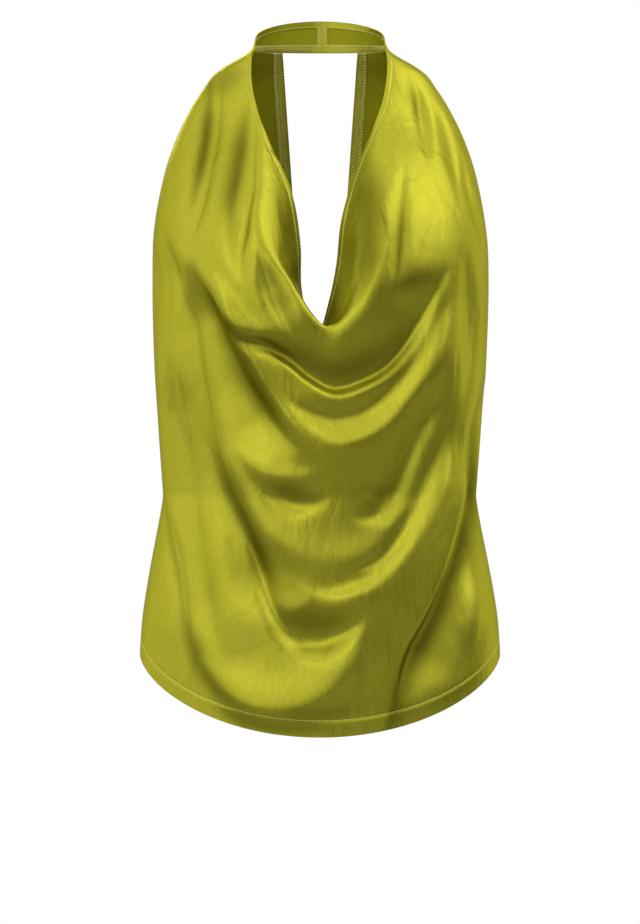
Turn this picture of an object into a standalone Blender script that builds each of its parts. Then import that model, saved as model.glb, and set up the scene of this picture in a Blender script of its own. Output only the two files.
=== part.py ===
"""Cowl neck halter top in bias-cut satin, held up by the nape of its wearer.

Pieces: a front panel that rolls inwards over a deep cowl, a back panel with a long keyhole, a neck band
in two halves joined at the nape, and the turned edges that lie inside them.

Frame: +Z up, the front faces -Y, +X is to the right of someone looking at the front.
The origin is the inner face of the neck band at the nape, half-way up the band.
All sizes below are millimetres and degrees; the meshes are in metres.
"""
import math
from collections import namedtuple

import bpy
import numpy as np

MM = 0.001

CLOTH = 1.4            # wall of every panel
TURNING = 1.0          # wall of a turned edge
SEAM_GAP = 0.45        # between pieces that are sewn edge to edge
LAY_GAP = 0.35         # between a panel and the turning that lies on it

# The hollow form, as sections of a general figure: half_width to each side of the centre, and front and
# back measured from middle, the depth at which the section is widest.
Section = namedtuple("Section", "height half_width middle front back")
SECTIONS = (
    Section(16, 57, -46, 20, 47.4),           # top of the band
    Section(-4, 60.5, -46, 26, 47.4),
    Section(-14, 62.6, -47, 30, 48.4),        # foot of the band
    Section(-20.5, 66.5, -48.5, 31, 50),
    Section(-27, 76, -49.5, 28, 51.5),
    Section(-33, 87, -49.5, 27, 52.5),
    Section(-40, 97.5, -49, 29, 53.5),
    Section(-57, 111, -48, 38, 57),           # shoulder
    Section(-86, 128, -49.5, 50, 64.5),
    Section(-126, 143.8, -54, 76, 76),
    Section(-152, 150.3, -57.5, 91, 82),
    Section(-178, 155, -61, 103, 87),
    Section(-204, 158, -63, 110, 88.5),       # underarm
    Section(-240, 158.8, -65, 114, 88),       # chest
    Section(-300, 157.3, -66, 110, 82),
    Section(-350, 154.5, -66, 104, 77),
    Section(-407, 150.5, -66, 99, 72),
    Section(-430, 148.7, -66, 97.5, 71),
    Section(-441, 148, -66, 97, 71),          # waist
    Section(-453, 149.6, -66, 97, 72.5),
    Section(-478, 154.2, -65.5, 97.5, 76),
    Section(-503, 159, -65, 98, 80.5),
    Section(-532, 164, -64, 99.5, 86),
    Section(-556, 167.5, -63, 101, 91),
    Section(-588, 169.5, -62, 102, 95),       # hem at the sides
    Section(-665, 171, -62, 103, 98),
)

# The front's neck edge from the left end of the band round the bowl to the right end, and the roll from
# that edge to the crest of the cowl beside it, as seen from the front.
Neck = namedtuple("Neck", "x depth height roll_x roll_up")
NECK_EDGE = (
    Neck(-60.8, -47.5, -6, -5.6, -14.5),
    Neck(-62, -54.5, -15, -5.3, -7.5),
    Neck(-64, -62, -25, -8, -3.5),
    Neck(-64.5, -73, -45.5, -7.5, -3),
    Neck(-58, -91, -82, -8, -6),
    Neck(-46, -104, -114, -13, -6),
    Neck(-27, -118, -157, -30, -4),
    Neck(-18, -128, -209, -29, 0),
    Neck(-17, -132, -250, -12, 9),
    Neck(-4, -131, -298, 11, 12),             # bottom of the bowl
    Neck(8, -131.5, -262, 24, -4),
    Neck(15, -131, -228, 33, -4),
    Neck(19, -126, -190, 38, -8),
    Neck(30, -116, -148, 21, -9),
    Neck(48, -99, -102, 7, -8),
    Neck(60, -82, -65, 7, -5),
    Neck(63.3, -66.5, -33, 8, -3),
    Neck(61.8, -54.5, -15, 5.3, -7.5),
    Neck(60.8, -47.5, -6, 5.6, -14.5),
)
BOWL_FOOT = 9                                 # row of NECK_EDGE at the bottom of the bowl
ROLL_AT = (0, 0.05, 0.1, 0.16)                # share of a column at the edge, mid roll, crest and below it
ROLL_INSET = (1, 0.46, 0.12, 0)               # and how much of the edge's inset is left there
COLUMN_SPREAD = 0.7                           # under 1, the columns spread sideways soon after the crest
SIDE_PULL = 5                                 # the higher, the fewer columns follow the outer edge's curve
COLUMN_KNOTS = 30                             # places of each column below the roll that the curve runs through

# The front's outer edge from the end of the band: armhole, underarm, then side seam. Angles are measured
# round the section, 0 at centre front and 180 at centre back.
Edge = namedtuple("Edge", "angle height")
SIDE_EDGE = (
    Edge(86.6, -20.5), Edge(88.5, -27), Edge(89.5, -40), Edge(90, -57), Edge(90, -86), Edge(91, -115),
    Edge(94.5, -152), Edge(96, -180), Edge(96, -205), Edge(96, -240), Edge(96, -573),
)
UNDERARM = -205
SEAM_ANGLE = 96

BAND_FRONT_ANGLE = 88.5
BAND_TOP, BAND_TOP_DROP = 15, 20
BAND_FOOT, BAND_FOOT_DROP = -15.7, 4.5

HEM_SIDE = -588
HEM_DIP_FRONT, HEM_DIP_BACK = 72, 30
HEM_CURVE = 1.3

Armhole = namedtuple("Armhole", "height reach")
BACK_ARMHOLE = (
    Armhole(-16, 61.5), Armhole(-27, 70), Armhole(-60, 80), Armhole(-100, 92), Armhole(-140, 108),
    Armhole(-170, 127), Armhole(-190, 143), Armhole(-200, 152.5), Armhole(-205, 156.8),
)
KEYHOLE_HALF_TOP = 36
KEYHOLE_TAPER = 0.07
KEYHOLE_ROUND_FROM, KEYHOLE_FOOT = -255, -325

# The largest folds. Each runs through a start, a middle and an end, seen from the front (or for the back,
# from the front through it). depth is outwards for a ridge and inwards for a trough, and the two widths
# are how far it spreads to the left and right of its run, looking along it.
Fold = namedtuple("Fold", "start middle end depth left right")
FRONT_FOLDS = (
    Fold((-80, -305), (18, -338), (100, -270), -13, 26, 20),     # hollow under the cowl
    Fold((-70, -325), (15, -389), (115, -250), 9, 24, 26),       # first swag
    Fold((-60, -400), (0, -446), (85, -415), -12, 26, 24),       # hollow under it
    Fold((-95, -385), (15, -478), (115, -330), 9, 26, 26),       # second swag
    Fold((-40, -560), (-5, -569), (40, -540), -11, 22, 26),      # lowest hollow
    Fold((-115, -240), (-80, -325), (-15, -400), -6, 14, 20),    # diagonal from the left chest
    Fold((-115, -340), (-75, -455), (-15, -570), -8, 12, 26),    # long diagonal on the left
    Fold((-108, -85), (-112, -130), (-122, -185), -5, 12, 12),   # left shoulder drape
    Fold((-62, -100), (-80, -165), (-72, -225), -8, 16, 16),     # beside the left neck edge
    Fold((74, -175), (72, -215), (76, -255), -4, 8, 10),         # short tuck on the right chest
    Fold((143, -395), (118, -520), (66, -625), -8, 26, 4),       # overlapping fold on the right
    Fold((-142, -230), (-122, -345), (-85, -440), -4, 12, 12),   # left side groove
    Fold((-140, -450), (-124, -545), (-122, -600), -4, 10, 8),   # left hip
    Fold((-60, -600), (-25, -622), (20, -630), 6, 30, 30),       # fullness above the hem
)
BACK_FOLDS = (
    Fold((-60, -330), (0, -372), (60, -330), -7, 22, 22),
    Fold((-90, -360), (0, -430), (90, -350), 6, 24, 24),
    Fold((-75, -440), (5, -488), (90, -430), -7, 24, 24),
    Fold((105, -250), (118, -400), (80, -560), -5, 14, 14),
    Fold((-115, -260), (-110, -420), (-70, -585), -5, 16, 12),
    Fold((-30, -520), (-20, -570), (-35, -612), -4, 18, 18),
)
FOLD_FADE = 45         # length over which a fold dies away towards each end
SEAM_CALM = 26         # degrees beside a side seam in which folds die away

FRONT_COLUMNS, FRONT_ROWS = 46, 42
ROWS_FOR_A_ROLL_STEP = 20   # of this many rows, one goes to each of the three steps of the roll
BACK_COLUMNS, BACK_ROWS = 10, 46
BACK_FIRST_ROW, BACK_SECOND_ROW = -16.5, -27   # heights at which their widths are read
ROWS_ABOVE, ROWS_ROUND_FOOT = 0.4, 0.17     # shares of the back's rows above the keyhole's foot and round it
BAND_COLUMNS, BAND_ROWS = 16, 3

HEM_TURN = 15
BAND_HEM_TURN = 6.5
BAND_SEAM_TURN = 8
NAPE_SEAM_FROM, NAPE_SEAM_TO = -2.6, 7
KEYHOLE_TURN = 9
TURN_INSET = 0.6       # a turning stops this far inside the edge that it finishes
HEM_END_SHARE = 0.08   # and this share of a column before a side seam
KEYHOLE_TURN_DROP = 0.1   # share of the first row between the band and the keyhole's turning
BAND_HALF_GAP = 0.2    # degrees from the nape to each half of the band
BAND_TURN_END = 1.0    # degrees that a turning stops short of the band's front end


def spline(knots, values, at):
    """Smooth curve through values at rising knots, for each place in at."""
    knots = np.asarray(knots, float)
    values = np.asarray(values, float)
    slopes = np.gradient(values, knots, axis=0)
    at = np.asarray(at, float)
    i = np.clip(np.searchsorted(knots, at, side="right") - 1, 0, len(knots) - 2)
    span = knots[i + 1] - knots[i]
    t = (at - knots[i]) / span
    if values.ndim > 1:
        t, span = t[..., None], span[..., None]
    start = (1 + 2 * t) * (1 - t) ** 2 * values[i] + t * (1 - t) ** 2 * span * slopes[i]
    end = t * t * (3 - 2 * t) * values[i + 1] + t * t * (t - 1) * span * slopes[i + 1]
    return start + end


def smoothstep(t):
    t = np.clip(t, 0, 1)
    return t * t * (3 - 2 * t)


def section(height):
    """The four sizes of the form at each height."""
    table = np.array(SECTIONS[::-1])
    return np.moveaxis(spline(table[:, 0], table[:, 1:], height), -1, 0)


def form_point(angle, height, inset=0):
    """Point of the outer surface at an angle round the section, moved back by inset."""
    half_width, middle, front, back = section(height)
    cosine = np.cos(np.radians(angle))
    depth = np.where(cosine > 0, front, back)
    x = half_width * np.sin(np.radians(angle))
    return np.stack([x, middle - depth * cosine + inset, height + 0 * x], axis=-1)


def angle_at(x, height):
    """Angle round the front half of the section at which the form is x wide."""
    widest = math.sin(math.radians(SIDE_EDGE[0].angle))
    return np.degrees(np.arcsin(np.clip(x / section(height)[0], -widest, widest)))


def run_length(points):
    steps = np.linalg.norm(np.diff(points, axis=0), axis=1)
    return np.concatenate([[0], np.cumsum(steps)])


def hem_height(angle):
    cosine = np.cos(np.radians(angle))
    dip = np.where(cosine > 0, HEM_DIP_FRONT, HEM_DIP_BACK)
    return HEM_SIDE - dip * np.abs(cosine) ** HEM_CURVE


# ---------------------------------------------------------------- folds

def fold_run(fold, steps=13):
    """Points along a fold, on a smooth curve through its three places."""
    return spline([0, 0.5, 1], np.array([fold.start, fold.middle, fold.end], float), np.linspace(0, 1, steps))


def fold_depth(fold, x, height):
    """How far one fold moves the cloth outwards at each place seen from the front."""
    run = fold_run(fold)
    reached = run_length(run)
    place = np.stack([x, height], axis=-1)
    nearest = np.full(x.shape, np.inf)
    signed, along = np.zeros(x.shape), np.zeros(x.shape)
    for a, b, start in zip(run[:-1], run[1:], reached):
        way = b - a
        t = np.clip(((place - a) @ way) / (way @ way), 0, 1)
        offset = place - (a + t[..., None] * way)
        distance = np.linalg.norm(offset, axis=-1)
        side = way[0] * offset[..., 1] - way[1] * offset[..., 0]
        closer = distance < nearest
        nearest = np.where(closer, distance, nearest)
        signed = np.where(closer, np.where(side > 0, distance, -distance), signed)
        along = np.where(closer, start + t * np.linalg.norm(way), along)
    bell = np.exp(-(signed / np.where(signed > 0, fold.left, fold.right)) ** 2)
    fade = min(FOLD_FADE, 0.45 * reached[-1])
    return fold.depth * bell * smoothstep(along / fade) * smoothstep((reached[-1] - along) / fade)


def fold_all(points, angle, folds):
    """Moves the points outwards, square to the section, by all the folds together."""
    x, height = points[..., 0], points[..., 2]
    half_width, _, front, back = section(height)
    cosine, sine = np.cos(np.radians(angle)), np.sin(np.radians(angle))
    depth = np.where(cosine > 0, front, back)
    outwards = np.stack([sine * depth, -cosine * half_width, 0 * x], axis=-1)
    outwards /= np.linalg.norm(outwards, axis=-1, keepdims=True)
    total = sum(fold_depth(fold, x, height) for fold in folds)
    calm = smoothstep(np.abs(SEAM_ANGLE - np.abs(angle)) / SEAM_CALM)
    return points + outwards * (total * calm)[..., None]


# ---------------------------------------------------------------- front

def edge_angle_at(height):
    """Angle of the front's outer edge at a height."""
    table = np.array(SIDE_EDGE)[::-1]
    return spline(table[:, 1], table[:, 0], height)


def side_path(share):
    """Angle and height of the front's outer edge, by share of its length."""
    table = np.array(SIDE_EDGE)
    lengths = run_length(form_point(table[:, 0], table[:, 1]))
    height = spline(lengths / lengths[-1], table[:, 1], share)
    return edge_angle_at(height), height


def neck_rows(across):
    """Angle, height and inset of the neck edge and of the cowl's crest, for each column."""
    table = np.array(NECK_EDGE)
    lengths = run_length(table[:, :3])
    foot = lengths[BOWL_FOOT]
    rest = lengths[-1] - foot
    shares = np.where(lengths < foot, lengths / foot - 1, (lengths - foot) / rest)
    x, depth, height, roll_x, roll_up = np.moveaxis(spline(shares, table, across), -1, 0)
    edge_angle = angle_at(x, height)
    inset = depth - form_point(edge_angle, height)[..., 1]
    crest_height = height + roll_up
    return edge_angle, height, inset, angle_at(x + roll_x, crest_height), crest_height


def front_surface(across, down):
    """Outer surface of the front: across from -1 to 1 by columns, down from 0 at the neck edge to 1 at
    the top of the hem, and last the hem's own edge."""
    edge_angle, edge_height, inset, crest_angle, crest_height = neck_rows(across)
    rise = np.maximum(crest_height - edge_height, 0)
    end_angle = SIDE_EDGE[0].angle
    hem_angle = SEAM_ANGLE * across
    hem = hem_height(hem_angle)
    side_weight = np.abs(across) ** SIDE_PULL

    def below(share):
        side_angle, side_height = side_path(share)
        even_angle = end_angle + (SEAM_ANGLE - end_angle) * share ** COLUMN_SPREAD
        even_height = SIDE_EDGE[0].height + (HEM_SIDE + HEM_TURN - SIDE_EDGE[0].height) * share
        angle = crest_angle + (hem_angle - crest_angle) * share ** COLUMN_SPREAD
        angle = angle + side_weight * np.sign(across) * (side_angle - even_angle)
        height = crest_height + (hem + HEM_TURN - crest_height) * share
        return angle, height + side_weight * (side_height - even_height)

    crest = ROLL_AT[2]
    knots = list(ROLL_AT) + list(np.linspace(ROLL_AT[3], 1, COLUMN_KNOTS)[1:])
    angles = [edge_angle, (edge_angle + crest_angle) / 2]
    heights = [edge_height, (edge_height + crest_height) / 2 + rise / 4]
    for knot in knots[2:]:
        angle, height = below((knot - crest) / (1 - crest))
        angles.append(angle)
        heights.append(height)
    insets = [share * inset for share in ROLL_INSET] + [0 * inset] * (len(knots) - len(ROLL_INSET))
    angle = np.concatenate([spline(knots, angles, down), hem_angle[None]])
    height = np.concatenate([spline(knots, heights, down), hem[None]])
    inset = np.concatenate([spline(knots, insets, down), 0 * hem_angle[None]])
    return fold_all(form_point(angle, height, inset), angle, FRONT_FOLDS)


def front_rows(count):
    """Shares down the columns to the hem, closer together over the roll."""
    steps = count // ROWS_FOR_A_ROLL_STEP
    over_roll = [np.linspace(a, b, steps + 1)[:-1] for a, b in zip(ROLL_AT[:-1], ROLL_AT[1:])]
    return np.concatenate(over_roll + [np.linspace(ROLL_AT[3], 1, count - 3 * steps + 1)])


# ---------------------------------------------------------------- back

def keyhole_half(height):
    """Half the width of the keyhole at a height, round at its foot."""
    straight = KEYHOLE_HALF_TOP - KEYHOLE_TAPER * (BAND_FOOT - height)
    drop = (KEYHOLE_ROUND_FROM - height) / (KEYHOLE_ROUND_FROM - KEYHOLE_FOOT)
    return straight * np.sqrt(1 - np.clip(drop, 0, 1) ** 2)


def band_edges(angle):
    """Foot and top of the band at an angle round the neck."""
    away = 1 + np.cos(np.radians(angle))
    return BAND_FOOT - BAND_FOOT_DROP * away, BAND_TOP - BAND_TOP_DROP * away


def back_heights(count):
    """Heights of the back's rows: the band's foot, even ones, close ones round the foot of the keyhole,
    the turning below it and even ones to the top of the hem. Also the number of rows to that turning."""
    above = np.linspace(BACK_SECOND_ROW, KEYHOLE_ROUND_FROM, int(count * ROWS_ABOVE))
    turn = np.radians(np.linspace(0, 90, int(count * ROWS_ROUND_FOOT) + 1)[1:])
    round_foot = KEYHOLE_ROUND_FROM + (KEYHOLE_FOOT - KEYHOLE_ROUND_FROM) * np.sin(turn)
    to_turning = 1 + len(above) + len(round_foot)
    below = np.linspace(KEYHOLE_FOOT - KEYHOLE_TURN, HEM_SIDE + HEM_TURN, count - to_turning)
    return np.concatenate([[BACK_FIRST_ROW], above, round_foot, below]), to_turning


def back_half(side, columns, rows):
    """Outer surface of one half of the back, from the keyhole or centre back out to its edge."""
    heights, _ = back_heights(rows)
    armhole = np.array(BACK_ARMHOLE)[::-1]
    reach = spline(armhole[:, 0], armhole[:, 1], np.maximum(heights, UNDERARM))
    seam = edge_angle_at(np.minimum(heights, UNDERARM)) + np.degrees(SEAM_GAP / section(heights)[3])
    outer = np.where(heights > UNDERARM, 180 - angle_at(reach, heights), seam)
    inner = 180 - angle_at(keyhole_half(heights), heights)
    turned = 180 - angle_at(keyhole_half(heights) + KEYHOLE_TURN, heights)
    beyond = turned[:, None] + (outer - turned)[:, None] * np.linspace(0, 1, columns)
    angle = np.concatenate([inner[:, None], beyond], axis=1)
    height = heights[:, None] + 0 * angle
    height[0] = band_edges(angle[0])[0] - SEAM_GAP
    drop = np.clip((KEYHOLE_FOOT - height) / (KEYHOLE_FOOT - HEM_SIDE - HEM_TURN), 0, 1)
    height = height + drop * (hem_height(angle) - HEM_SIDE)
    angle = np.concatenate([angle, angle[-1:]])
    height = np.concatenate([height, hem_height(angle[-1:])])
    return fold_all(form_point(side * angle, height), side * angle, BACK_FOLDS)


# ---------------------------------------------------------------- meshes

def fresh_object(name, mesh, finish):
    colour, roughness = finish
    item = bpy.data.objects.new(name, mesh)
    bpy.context.scene.collection.objects.link(item)
    material = bpy.data.materials.new(name)
    material.use_nodes = True
    shader = material.node_tree.nodes["Principled BSDF"]
    shader.inputs["Base Color"].default_value = (*colour, 1)
    shader.inputs["Roughness"].default_value = roughness
    shader.inputs["Metallic"].default_value = 0.0
    mesh.materials.append(material)
    mesh.shade_smooth()
    return item


def patch(points):
    """A grid of outer points, rows going down and columns to the right, and the unit vector square to
    the cloth at each."""
    down = np.gradient(points, axis=0, edge_order=min(2, len(points) - 1))
    across = np.gradient(points, axis=1, edge_order=min(2, len(points[0]) - 1))
    square = np.cross(down, across)
    return points, square / np.linalg.norm(square, axis=-1, keepdims=True)


def cut(panel, rows, columns=slice(None)):
    """The points of part of a panel, to make what lies on it."""
    points, square = panel
    return points[rows, columns].copy(), square[rows, columns]


def wall_object(name, patches, depth, thickness, finish):
    """A closed cloth wall that starts at a depth inside the outer points of one or more patches, which
    are joined where they meet."""
    places, squares, faces, number = [], [], [], {}

    def vertex(point, square):
        key = tuple(np.round(point * 100).astype(int))
        if key not in number:
            number[key] = len(places)
            places.append(point)
            squares.append(np.zeros(3))
        squares[number[key]] += square
        return number[key]

    for points, square in patches:
        rows = [[vertex(*pair) for pair in zip(*row)] for row in zip(points, square)]
        for upper, lower in zip(rows[:-1], rows[1:]):
            for i in range(len(upper) - 1):
                faces.append((upper[i], lower[i], lower[i + 1]))
                faces.append((upper[i], lower[i + 1], upper[i + 1]))
    count = len(places)
    squares = np.array(squares)
    squares /= np.linalg.norm(squares, axis=-1, keepdims=True)
    walls = np.concatenate([places - depth * squares, places - (depth + thickness) * squares])
    used = {(face[i - 1], face[i]) for face in faces for i in range(3)}
    rim = [(b, a, a + count, b + count) for a, b in used if (b, a) not in used]
    back = [tuple(i + count for i in reversed(face)) for face in faces]
    mesh = bpy.data.meshes.new(name)
    mesh.from_pydata(walls * MM, [], faces + back + sorted(rim))
    mesh.validate()
    return fresh_object(name, mesh, finish)


SATIN = ((0.42, 0.40, 0.035), 0.35)
SATIN_TURNED = ((0.36, 0.34, 0.05), 0.4)


def turned_hem(panel):
    """The last two rows of a panel as its turned hem, drawn up from the edge and in from the seams."""
    points, square = panel
    points = points.copy()
    points[-1] += (points[0] - points[-1]) * (TURN_INSET / HEM_TURN)
    points[:, 0] += (points[:, 1] - points[:, 0]) * HEM_END_SHARE
    points[:, -1] += (points[:, -2] - points[:, -1]) * HEM_END_SHARE
    return points, square


def make_front():
    front = patch(front_surface(np.linspace(-1, 1, FRONT_COLUMNS + 1), front_rows(FRONT_ROWS)))
    wall_object("front", [front], 0, CLOTH, SATIN)
    wall_object("hem_front", [turned_hem(cut(front, slice(-2, None)))], CLOTH + LAY_GAP, TURNING, SATIN_TURNED)


def make_back():
    """The back, one piece from side seam to side seam, and its turned edges. Seen from behind, its right
    half comes first."""
    right = back_half(1, BACK_COLUMNS, BACK_ROWS)[:, ::-1]
    left = back_half(-1, BACK_COLUMNS, BACK_ROWS)
    wall_object("back", [patch(right), patch(left)], 0, CLOTH, SATIN)
    lowest = patch(np.concatenate([right, left[:, 1:]], axis=1)[-3:])
    wall_object("hem_back", [turned_hem(cut(lowest, slice(-2, None)))], CLOTH + LAY_GAP, TURNING, SATIN_TURNED)
    _, to_turning = back_heights(BACK_ROWS)
    turnings = []
    for half, columns, edge, panel in ((right, slice(-2, None), -1, 0), (left, slice(0, 2), 0, 1)):
        points, square = cut(patch(half), slice(0, to_turning + 1), columns)
        draw_in = (points[:, panel] - points[:, edge]) * (TURN_INSET / KEYHOLE_TURN)
        points[:to_turning - 1, edge] += draw_in[:to_turning - 1]
        points[0] += (points[1] - points[0]) * KEYHOLE_TURN_DROP
        turnings.append((points, square))
    wall_object("keyhole_hem", turnings, CLOTH + LAY_GAP, TURNING, SATIN_TURNED)


def band_half(side, upper, lower, front_angle, columns, rows):
    """Outer surface of part of one half of the band, between two heights that depend on the angle."""
    angle = np.linspace(180 - BAND_HALF_GAP, front_angle, columns + 1)
    share = np.linspace(0, 1, rows + 1)[:, None]
    points = form_point(side * (angle + 0 * share), upper(angle) * (1 - share) + lower(angle) * share)
    return points if side < 0 else points[:, ::-1]


def band_height_share(angle):
    foot, top = band_edges(angle)
    return np.sqrt((top - foot) / (BAND_TOP - BAND_FOOT))


def make_band():
    def top(angle):
        return band_edges(angle)[1]

    def foot(angle):
        return band_edges(angle)[0]

    def hem_top(angle):
        return top(angle) - TURN_INSET

    def hem_foot(angle):
        return top(angle) - BAND_HEM_TURN * band_height_share(angle)

    def seam_top(angle):
        return foot(angle) + BAND_SEAM_TURN * band_height_share(angle)

    def seam_foot(angle):
        return foot(angle) + TURN_INSET

    for side, name in ((-1, "left"), (1, "right")):
        half = band_half(side, top, foot, BAND_FRONT_ANGLE, BAND_COLUMNS, BAND_ROWS)
        wall_object("band_" + name, [patch(half)], 0, CLOTH, SATIN)
        for turning, upper, lower in (("hem", hem_top, hem_foot), ("seam", seam_top, seam_foot)):
            points = band_half(side, upper, lower, BAND_FRONT_ANGLE + BAND_TURN_END, BAND_COLUMNS, 1)
            wall_object(f"band_{turning}_{name}", [patch(points)], CLOTH + LAY_GAP, TURNING, SATIN_TURNED)
    across = 180 - angle_at(np.linspace(NAPE_SEAM_TO, NAPE_SEAM_FROM, 3), 0)
    heights = np.linspace(hem_foot(180) - SEAM_GAP, seam_top(180) + SEAM_GAP, 3)[:, None]
    nape = form_point(across + 0 * heights, heights + 0 * across)
    wall_object("nape_seam", [patch(nape)], CLOTH + LAY_GAP, TURNING, SATIN_TURNED)


for leftover in list(bpy.data.objects):
    bpy.data.objects.remove(leftover, do_unlink=True)
make_front()
make_back()
make_band()
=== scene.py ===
"""Looks of the cowl neck halter top: satin panels with their drape, turned edges, overlocking and stitches.

The garment's sections, edges and hems are those of the solids that it rides on; the folds here are finer.
Tables are in millimetres and degrees, meshes are in metres, and all stand in the frame's own axes:
+Z up, the front faces -Y, +X is to the right of someone looking at the front.
"""

import math
from collections import namedtuple

import bpy
import numpy as np
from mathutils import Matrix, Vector


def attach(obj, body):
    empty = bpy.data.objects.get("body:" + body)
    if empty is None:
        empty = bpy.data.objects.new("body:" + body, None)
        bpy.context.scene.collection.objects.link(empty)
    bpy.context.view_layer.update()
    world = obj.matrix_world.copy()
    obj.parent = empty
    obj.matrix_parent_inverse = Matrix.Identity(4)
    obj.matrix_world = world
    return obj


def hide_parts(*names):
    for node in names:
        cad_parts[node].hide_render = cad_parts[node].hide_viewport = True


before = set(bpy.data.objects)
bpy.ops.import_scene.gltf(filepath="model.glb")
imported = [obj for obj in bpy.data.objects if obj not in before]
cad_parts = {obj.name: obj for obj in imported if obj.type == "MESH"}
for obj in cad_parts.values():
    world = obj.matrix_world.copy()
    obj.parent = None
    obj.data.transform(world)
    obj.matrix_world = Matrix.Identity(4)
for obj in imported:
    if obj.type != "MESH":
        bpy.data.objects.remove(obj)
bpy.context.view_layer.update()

MM = 0.001

CLOTH = 0.7     # wall of a panel
TURNING = 0.5   # wall of a turned edge
SEAM_GAP = 0.1  # between panels that are sewn edge to edge
LAY_GAP = 0.12  # between a panel and the turning that lies on it

# The hollow form, as sections of a general figure: half_width to each side of the centre, and front and
# back measured from middle, the depth at which the section is widest.
Section = namedtuple("Section", "height half_width middle front back")
SECTIONS = (
    Section(16, 57, -46, 20, 47.4),  # top of the band
    Section(-4, 60.5, -46, 26, 47.4),
    Section(-14, 62.6, -47, 30, 48.4),  # foot of the band
    Section(-20.5, 66.5, -48.5, 31, 50),
    Section(-27, 76, -49.5, 28, 51.5),
    Section(-33, 87, -49.5, 27, 52.5),
    Section(-40, 97.5, -49, 29, 53.5),
    Section(-57, 111, -48, 38, 57),  # shoulder
    Section(-86, 128, -49.5, 50, 64.5),
    Section(-126, 143.8, -54, 76, 76),
    Section(-152, 150.3, -57.5, 91, 82),
    Section(-178, 155, -61, 103, 87),
    Section(-204, 158, -63, 110, 88.5),  # underarm
    Section(-240, 158.8, -65, 114, 88),  # chest
    Section(-300, 157.3, -66, 110, 82),
    Section(-350, 154.5, -66, 104, 77),
    Section(-407, 150.5, -66, 99, 72),
    Section(-430, 148.7, -66, 97.5, 71),
    Section(-441, 148, -66, 97, 71),  # waist
    Section(-453, 149.6, -66, 97, 72.5),
    Section(-478, 154.2, -65.5, 97.5, 76),
    Section(-503, 159, -65, 98, 80.5),
    Section(-532, 164, -64, 99.5, 86),
    Section(-556, 167.5, -63, 101, 91),
    Section(-588, 169.5, -62, 102, 95),  # hem at the sides
    Section(-665, 171, -62, 103, 98),
)

# The front's neck edge from the left end of the band round the bowl to the right end, and the roll from
# that edge to the crest of the cowl beside it, as seen from the front.
Neck = namedtuple("Neck", "x depth height roll_x roll_up")
NECK_EDGE = (
    Neck(-60.8, -47.5, -6, -5.6, -14.5),
    Neck(-62, -54.5, -15, -5.3, -7.5),
    Neck(-64, -62, -25, -8, -3.5),
    Neck(-64.5, -73, -45.5, -7.5, -3),
    Neck(-58, -91, -82, -8, -6),
    Neck(-46, -104, -114, -13, -6),
    Neck(-27, -118, -157, -30, -4),
    Neck(-18, -128, -209, -29, 0),
    Neck(-17, -132, -250, -12, 9),
    Neck(-4, -131, -298, 11, 12),  # bottom of the bowl
    Neck(8, -131.5, -262, 24, -4),
    Neck(15, -131, -228, 33, -4),
    Neck(19, -126, -190, 38, -8),
    Neck(30, -116, -148, 21, -9),
    Neck(48, -99, -102, 7, -8),
    Neck(60, -82, -65, 7, -5),
    Neck(63.3, -66.5, -33, 8, -3),
    Neck(61.8, -54.5, -15, 5.3, -7.5),
    Neck(60.8, -47.5, -6, 5.6, -14.5),
)
BOWL_FOOT = 9                    # row of NECK_EDGE at the bottom of the bowl
ROLL_AT = (0, 0.05, 0.1, 0.16)   # share of a column at the edge, mid roll, crest and below it
ROLL_INSET = (1, 0.46, 0.12, 0)  # and how much of the edge's inset is left there
COLUMN_SPREAD = 0.7              # under 1, the columns spread sideways soon after the crest
SIDE_PULL = 5                    # the higher, the fewer columns follow the outer edge's curve
COLUMN_KNOTS = 30                # knots of a column's curve below the roll

# The front's outer edge from the end of the band: armhole, underarm, then side seam. Angles are measured
# round the section, 0 at centre front and 180 at centre back.
Edge = namedtuple("Edge", "angle height")
SIDE_EDGE = (
    Edge(86.6, -20.5), Edge(88.5, -27), Edge(89.5, -40), Edge(90, -57), Edge(90, -86), Edge(91, -115),
    Edge(94.5, -152), Edge(96, -180), Edge(96, -205), Edge(96, -240), Edge(96, -573),
)
UNDERARM = -205
SEAM_ANGLE = 96

BAND_FRONT_ANGLE = 87.8           # where each half of the band meets the front's corner
BAND_TOP, BAND_TOP_DROP = 15, 20  # height at the nape, and the drop from there to the side
BAND_FOOT, BAND_FOOT_DROP = -15.7, 4.5

HEM_SIDE = -588                       # height of the hem at the sides
HEM_DIP_FRONT, HEM_DIP_BACK = 72, 30  # how much lower it is at the centre
HEM_CURVE = 1.3

# The back's armhole edge: how far it reaches from the centre at each height.
Armhole = namedtuple("Armhole", "height reach")
BACK_ARMHOLE = (
    Armhole(-16, 61.5), Armhole(-27, 70), Armhole(-60, 80), Armhole(-100, 92), Armhole(-140, 108),
    Armhole(-170, 127), Armhole(-190, 143), Armhole(-200, 152.5), Armhole(-205, 156.8),
)
KEYHOLE_HALF_TOP = 36  # half its width at the band
KEYHOLE_TAPER = 0.07   # by which each side comes in for each mm down
KEYHOLE_ROUND_FROM, KEYHOLE_FOOT = -255, -325

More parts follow.
